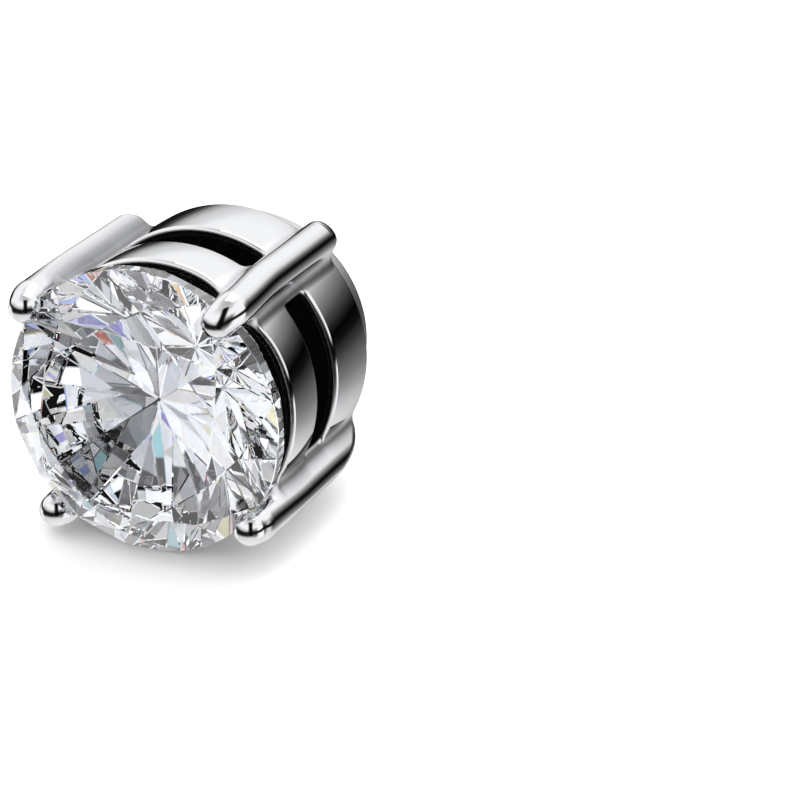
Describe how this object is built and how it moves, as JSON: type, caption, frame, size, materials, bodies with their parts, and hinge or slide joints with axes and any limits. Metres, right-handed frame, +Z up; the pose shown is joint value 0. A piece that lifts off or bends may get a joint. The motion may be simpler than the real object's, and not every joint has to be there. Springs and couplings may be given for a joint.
{
  "type": "magnetic stud earring",
  "caption": "Magnetic stud earring: round brilliant-cut clear stone in an open basket of bands and claws, with a plain disc magnet that pulls off the back",
  "frame": {"origin": "on the table top, under the centre of the earring's bounding box as it lies by itself", "axes": "+Z is up; the stone's table faces -Y and the back magnet is at +Y; the earring's own axis leans 1.5 degrees down towards +Y, because the loose earring lies on the stone's girdle, the rear band's edge and the back of one prong"},
  "size_m": [0.007, 0.0072, 0.007],
  "materials": {
    "bright_plate": "mirror polished",
    "cut_stone": "polished facets",
    "magnet_shell": "satin",
    "back_shell": "satin"
  },
  "bodies": {
    "earring": {"setting": "bright_plate", "stone": "cut_stone", "setting_magnet": "magnet_shell"},
    "back": {"back_magnet": "back_shell"}
  },
  "joints": [
    {"name": "back_pull", "type": "slide", "parent": "earring", "child": "back", "axis": [0, 0.9997, -0.0262], "range_m": [0, 0.012]}
  ]
}
